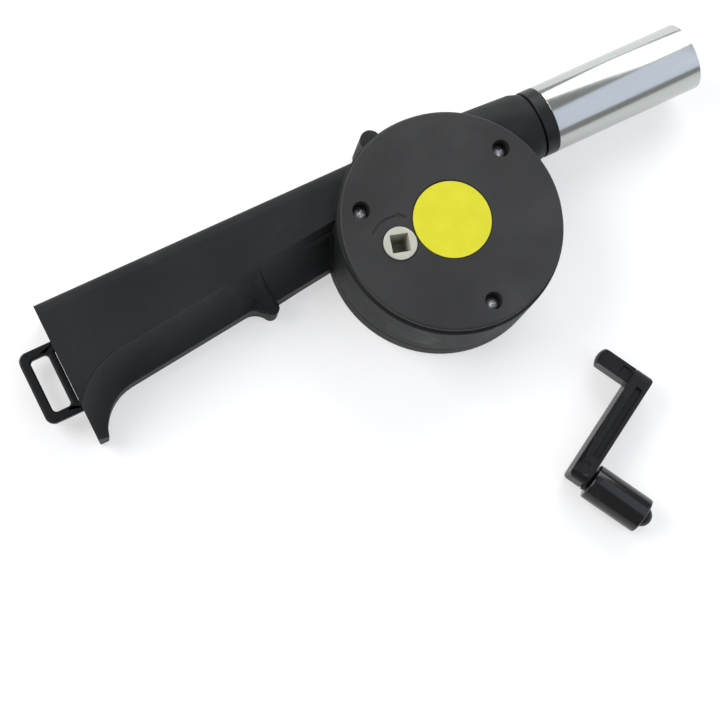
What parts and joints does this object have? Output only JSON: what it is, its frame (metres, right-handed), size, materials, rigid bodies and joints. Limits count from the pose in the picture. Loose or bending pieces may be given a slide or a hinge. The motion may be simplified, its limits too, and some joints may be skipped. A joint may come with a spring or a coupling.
{
  "type": "hand cranked charcoal blower",
  "caption": "Hand cranked air blower with a pistol-style handle, a gear driven fan in a drum, a metal nozzle tube and a crank that plugs in.",
  "frame": {"origin": "on the fan's axis, in the plane that the blower's back lies on", "axes": "+X along the nozzle towards its open end, +Y towards the straight side of the handle, +Z out of the front cover"},
  "size_m": [0.2837, 0.1798, 0.0376],
  "materials": {
    "shell_plastic": "fine grained matt black moulding",
    "cover_plastic": "satin black moulding",
    "gloss_black": "glossy black moulding",
    "crank_plastic": "satin black moulding",
    "label_film": "plain yellow film",
    "nylon_ivory": "natural nylon",
    "tube_steel": "polished plated steel",
    "screw_steel": "zinc plated",
    "shaft_steel": "ground",
    "bronze": "sintered"
  },
  "bodies": {
    "housing": {"body_shell": "shell_plastic", "rear_cover": "shell_plastic", "front_cover": "cover_plastic", "label_disc": "label_film", "cover_screws": "screw_steel", "case_screws": "screw_steel", "gear_plate": "crank_plastic", "plate_screws": "screw_steel", "compound_axle": "shaft_steel", "compound_washer": "bronze", "front_bush": "bronze", "rear_bush": "bronze", "nozzle_collar": "cover_plastic", "nozzle_tube": "tube_steel", "hanging_loop": "shell_plastic"},
    "fan": {"impeller": "crank_plastic", "fan_shaft": "shaft_steel", "fan_pinion": "bronze", "fan_washer": "nylon_ivory"},
    "drive": {"drive_gear": "nylon_ivory"},
    "compound": {"compound_gear": "nylon_ivory"},
    "crank": {"crank_arm": "crank_plastic"},
    "grip": {"crank_grip": "gloss_black"}
  },
  "joints": [
    {"name": "fan_spin", "type": "hinge", "parent": "housing", "child": "fan", "pos_m": [0, 0, 0.01], "axis": [0, 0, 1], "continuous": true},
    {"name": "drive_spin", "type": "hinge", "parent": "housing", "child": "drive", "pos_m": [-0.022, 0, 0.03], "axis": [0, 0, 1], "continuous": true},
    {"name": "compound_spin", "type": "hinge", "parent": "housing", "child": "compound", "pos_m": [-0.011, -0.0127, 0.025], "axis": [0, 0, 1], "continuous": true},
    {"name": "crank_carry", "type": "hinge", "parent": "housing", "child": "crank", "pos_m": [0.00064, -0.00879, -0.017], "axis": [-0.5838, -0.73, 0.3554], "range_deg": [0, 98.31]},
    {"name": "grip_spin", "type": "hinge", "parent": "crank", "child": "grip", "pos_m": [0.00693, -0.1035, 0.0072], "axis": [0.4848, -0.8746, 0], "continuous": true}
  ],
  "couplings": [
    {"joint": "drive_spin", "follows": "fan_spin", "ratio": 0.082237},
    {"joint": "compound_spin", "follows": "fan_spin", "ratio": -0.26316}
  ]
}
